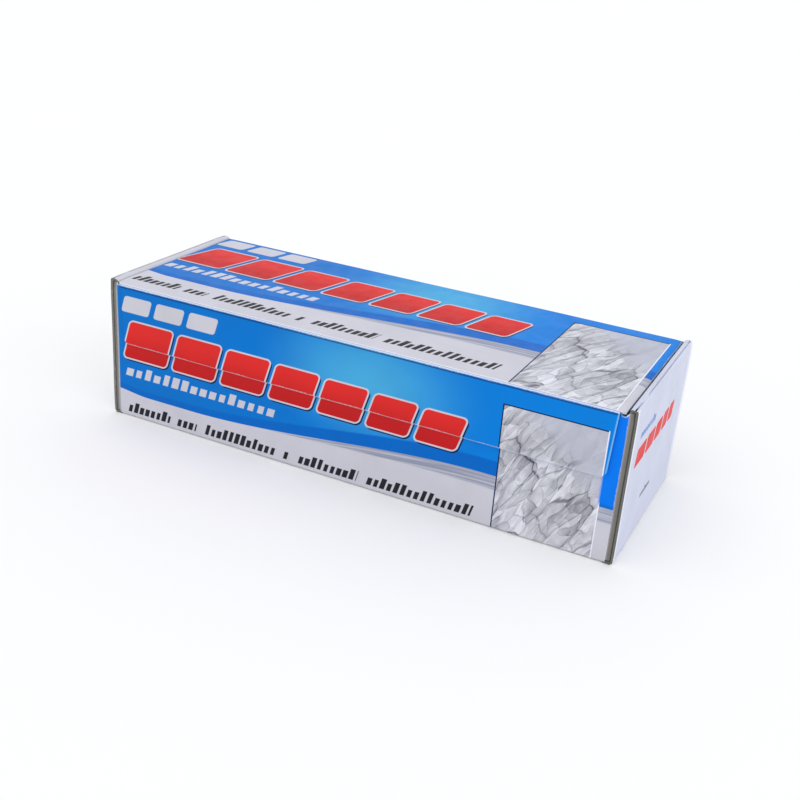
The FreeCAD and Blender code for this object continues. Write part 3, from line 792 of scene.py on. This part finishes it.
# Card piece that stands for a CAD node
def cardPiece(name, node, body, isSeed, step=0.007):
    isTray = node == "carton_tray"
    mesh = latticeCopy(nodes[node], step, [x * MM for x in extraCuts.get(node, ())])
    sides = sortFaces(mesh, isSeed)
    slots = list(materials)
    place = mesh.loops.layers.float_vector.new("sheetPlace")
    box = mesh.loops.layers.float_color.new("panelBox")
    printed = {v for face, side in sides.items() if side == "printed" for v in face.verts}
    for face, side in sides.items():
        mitre = abs(abs(face.normal.y) - abs(face.normal.z)) < 0.02 and abs(face.normal.x) < 0.1
        isPrinted = side == "printed" or (side == "cut" and mitre)
        kind, measure, limits = panelOf(face, node) if isPrinted else (side, None, (0, 0, 1, 1))
        middle = face.calc_center_median() / MM
        # Painted light: the lid's and flap's cut edges, and the front wall's top edge right of the flap,
        # take the pale lit copies of the cut board
        isLitRim = face.normal.z > 0.5 and middle.y < carton["wallFront"] + 1.35 and abs(middle.x) > 148
        if kind == "cut" and (not isTray or isLitRim):
            kind = "cutLitPale" if node == "lid_panel" else "cutLitBlue"
        face.material_index = slots.index(kind)
        face.smooth = True
        for loop in face.loops:
            point = loop.vert.co / MM
            along, down = measure(point) if measure else (0.0, 0.0)
            loop[place] = Vector((along, down, 0.0 if loop.vert in printed else 1.0))
            loop[box] = limits
    for edge in mesh.edges:
        edge.smooth = len(edge.link_faces) != 2 or edge.calc_face_angle(0.0) < math.radians(35)
    for vert in mesh.verts:
        if isTray:
            trayWear(vert)
        elif node == "lid_panel":
            lidWear(vert)
        vert.co += sheetShift(vert.co)
    data = bpy.data.meshes.new(name)
    mesh.to_mesh(data)
    mesh.free()
    piece = bpy.data.objects.new(name, data)
    bpy.context.scene.collection.objects.link(piece)
    for slot in slots:
        data.materials.append(materials[slot])
    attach(piece, body)
    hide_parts(node)
    print(name, len(data.polygons), "faces")
    return piece


def buildCard():
    front = carton["wallFront"] + 0.05
    cardPiece("cartonSheet", "carton_tray", "tray",
              lambda f: f.normal.y < -0.99 and f.calc_center_median().y / MM < front)
    cardPiece("lidSheet", "lid_panel", "lid", lambda f: f.normal.z > 0.99)
    cardPiece("flapSheet", "front_flap", "flap", lambda f: f.normal.y < -0.99)


buildCard()


# Foil: bright, with fine mill lines round the roll, soft dents, and the turns' edges on
# the ends
def foilMaterial():
    material, g, shader = newMaterial("rolledFoil")
    where = objectPlace(g)
    x, y, z = g.split(where)
    axis = (rollLow.z + rollHigh.z) / 2 * MM
    up = g.math("SUBTRACT", z, axis)
    radius = g.math("SQRT", g.math("MULTIPLY_ADD", y, y, g.math("MULTIPLY", up, up)))
    angle = g.math("ARCTAN2", up, y)

    def streaks(place, scale, turn, seed, *detail):
        spot = g.combine(g.math("MULTIPLY", place, scale), g.math("MULTIPLY", angle, turn), seed)
        return g.noise(spot, 1.0, *detail)

    lines = streaks(x, 1500.0, 0.9, 0.0, 3.0, 0.6)
    bands = streaks(x, 60.0, 0.6, 4.0, 2.0)
    turns = streaks(radius, 2600.0, 0.4, 0.0, 2.0)
    normal = g.split(g.add("ShaderNodeNewGeometry").outputs["Normal"])[0]
    onEnd = g.fade(g.math("ABSOLUTE", normal), 0.6, 0.8)
    side = g.mix(g.fade(lines, 0.3, 0.7), srgb(172, 174, 179), srgb(188, 190, 195))
    side = g.mix(g.fade(bands, 0.35, 0.65, 0.0, 0.3), side, srgb(150, 152, 158))
    tone = g.mix(g.fade(turns, 0.3, 0.7), srgb(128, 130, 134), srgb(198, 200, 204))
    g.feed(shader.inputs["Base Color"], g.mix(onEnd, side, tone))
    shader.inputs["Metallic"].default_value = 1.0
    rough = g.math("ADD", g.fade(lines, 0.3, 0.7, 0.22, 0.28), g.math("MULTIPLY", onEnd, 0.2))
    g.feed(shader.inputs["Roughness"], rough)
    dents = streaks(x, 20.0, 2.6, 0.0, 3.0, 0.55)
    height = g.math("MULTIPLY", g.math("SUBTRACT", 1.0, onEnd), dents)
    outer = g.bump(height, 0.003, 0.6)
    grain = g.math("ADD", g.math("MULTIPLY", turns, onEnd), g.math("MULTIPLY", lines, 0.03))
    g.feed(shader.inputs["Normal"], g.bump(grain, 0.0005, 0.7, outer))
    return material


# Core: spiral-wound brown card with the seam of its outer ply
def coreMaterial():
    material, g, shader = newMaterial("woundCore")
    where = objectPlace(g)
    x, y, z = g.split(where)
    axis = (coreLow.z + coreHigh.z) / 2 * MM
    angle = g.math("ARCTAN2", g.math("SUBTRACT", z, axis), y)
    turn = g.math("MULTIPLY_ADD", angle, 1 / (2 * math.pi), g.math("MULTIPLY", x, 1 / 0.062))
    seam = g.math("ABSOLUTE", g.math("SUBTRACT", g.math("FRACT", turn), 0.5))
    fibre = g.noise(where, 600.0, 5.0, 0.7)
    tone = g.mix(g.fade(fibre, 0.3, 0.75), srgb(142, 118, 86), srgb(178, 156, 124))
    tone = g.mix(g.fade(seam, 0.012, 0.004), tone, srgb(98, 78, 54))
    g.feed(shader.inputs["Base Color"], tone)
    shader.inputs["Roughness"].default_value = 0.8
    g.feed(shader.inputs["Normal"], g.bump(g.math("ADD", fibre, g.fade(seam, 0.004, 0.03)), 0.0002, 0.5))
    return material


# Cutting strip: tinned sheet with rolling marks along it
def stripMaterial():
    material, g, shader = newMaterial("stripSteel")
    where = objectPlace(g)
    x, y, z = g.split(where)
    lines = g.noise(g.combine(g.math("MULTIPLY", x, 6.0), y, g.math("MULTIPLY", z, 2400.0)), 1.0, 4.0, 0.6)
    tone = g.mix(lines, srgb(150, 152, 156), srgb(196, 198, 202))
    g.feed(shader.inputs["Base Color"], tone)
    shader.inputs["Metallic"].default_value = 1.0
    g.feed(shader.inputs["Roughness"], g.fade(lines, 0.3, 0.7, 0.28, 0.42))
    g.feed(shader.inputs["Normal"], g.bump(lines, 0.00004, 0.4))
    return material


def finishNode(node, material):
    data = nodes[node].data
    data.materials.clear()
    data.materials.append(material)


# The strip follows the flap's slow waves, so that it stays on the card
def stripPiece(material):
    mesh = latticeCopy(nodes["cutter_strip"], 0.007)
    for vert in mesh.verts:
        vert.co += sheetShift(vert.co)
    data = bpy.data.meshes.new("steelStrip")
    mesh.to_mesh(data)
    mesh.free()
    data.materials.append(material)
    piece = bpy.data.objects.new("steelStrip", data)
    bpy.context.scene.collection.objects.link(piece)
    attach(piece, "flap")
    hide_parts("cutter_strip")


finishNode("foil_roll", foilMaterial())
finishNode("core_tube", coreMaterial())
stripPiece(stripMaterial())
print("roll, core and strip finished")


# Plain pale floor, a hair below the carton's bottom
def floor():
    material, g, shader = newMaterial("paleFloor")
    where = objectPlace(g)
    tone = g.mix(g.noise(where, 3.0, 2.0), (0.95, 0.935, 0.91, 1.0), (0.965, 0.95, 0.925, 1.0))
    g.feed(shader.inputs["Base Color"], tone)
    shader.inputs["Roughness"].default_value = 0.9
    shader.inputs["Specular IOR Level"].default_value = 0.1
    bpy.ops.mesh.primitive_plane_add(size=12.0, location=(0, 0, -0.0001))
    plane = bpy.context.object
    plane.name = "floor"
    plane.data.materials.append(material)


# White all round for the camera and for reflections, softer as a light
def surroundings():
    world = bpy.data.worlds.new("studio")
    bpy.context.scene.world = world
    world.use_nodes = True
    world.node_tree.nodes.clear()
    g = Graph(world.node_tree)
    path = g.add("ShaderNodeLightPath")
    seen = g.math("MAXIMUM", path.outputs["Is Camera Ray"], path.outputs["Is Glossy Ray"])
    seen = g.math("MAXIMUM", seen, path.outputs["Is Transmission Ray"])
    light = g.add("ShaderNodeBackground")
    light.inputs["Color"].default_value = (0.93, 0.96, 1.0, 1.0)
    light.inputs["Strength"].default_value = 0.86
    white = g.add("ShaderNodeBackground")
    white.inputs["Color"].default_value = (1.0, 1.0, 1.0, 1.0)
    white.inputs["Strength"].default_value = 1.0
    blend = g.add("ShaderNodeMixShader")
    g.feed(blend.inputs[0], seen)
    g.feed(blend.inputs[1], light.outputs[0])
    g.feed(blend.inputs[2], white.outputs[0])
    g.feed(g.add("ShaderNodeOutputWorld").inputs[0], blend.outputs[0])


# Broad even light from one way, the same over the whole floor
def skyPanel(name, towards, strength, spread, colour):
    lamp = bpy.data.lights.new(name, "SUN")
    lamp.energy = strength
    lamp.angle = math.radians(spread)
    lamp.color = colour
    holder = bpy.data.objects.new(name, lamp)
    holder.rotation_euler = Vector(towards).to_track_quat("-Z", "Y").to_euler()
    bpy.context.scene.collection.objects.link(holder)


# Way that the light goes, strength, degrees across, colour
lamps = {
    "topLight": ((0.15, 0.25, -1.0), 0.62, 70.0, (1.0, 1.0, 1.0)),
    "rightLight": ((-1.0, 0.3, -0.4), 0.55, 60.0, (0.8, 0.86, 1.0)),
}


# The photograph's view, found from the carton's edges in it
view = {
    "azimuth": 24.720,
    "elevation": 24.404,
    "roll": 4.499,
    "lens": 49.734,
    "target": (8.34, -1.74, 31.84),
    "distance": 645.93,
}


def camera():
    lens = bpy.data.cameras.new("photoView")
    lens.lens = view["lens"]
    lens.sensor_width = 36.0
    lens.clip_start = 0.01
    azimuth, elevation, roll = (math.radians(view[k]) for k in ("azimuth", "elevation", "roll"))
    back = Vector((
        math.cos(elevation) * math.sin(azimuth),
        -math.cos(elevation) * math.cos(azimuth),
        math.sin(elevation),
    ))
    level = (-back).cross(Vector((0, 0, 1))).normalized()
    upright = level.cross(-back)
    right = level * math.cos(roll) + upright * math.sin(roll)
    up = upright * math.cos(roll) - level * math.sin(roll)
    eye = bpy.data.objects.new("photoView", lens)
    turn = Matrix((right, up, back)).transposed().to_4x4()
    place = (Vector(view["target"]) + back * view["distance"]) * MM
    eye.matrix_world = Matrix.Translation(place) @ turn
    bpy.context.scene.collection.objects.link(eye)
    bpy.context.scene.camera = eye


floor()
surroundings()
for name, settings in lamps.items():
    skyPanel(name, *settings)
camera()
print("floor, lights and camera set")
bpy.context.scene.view_settings.view_transform = "Standard"
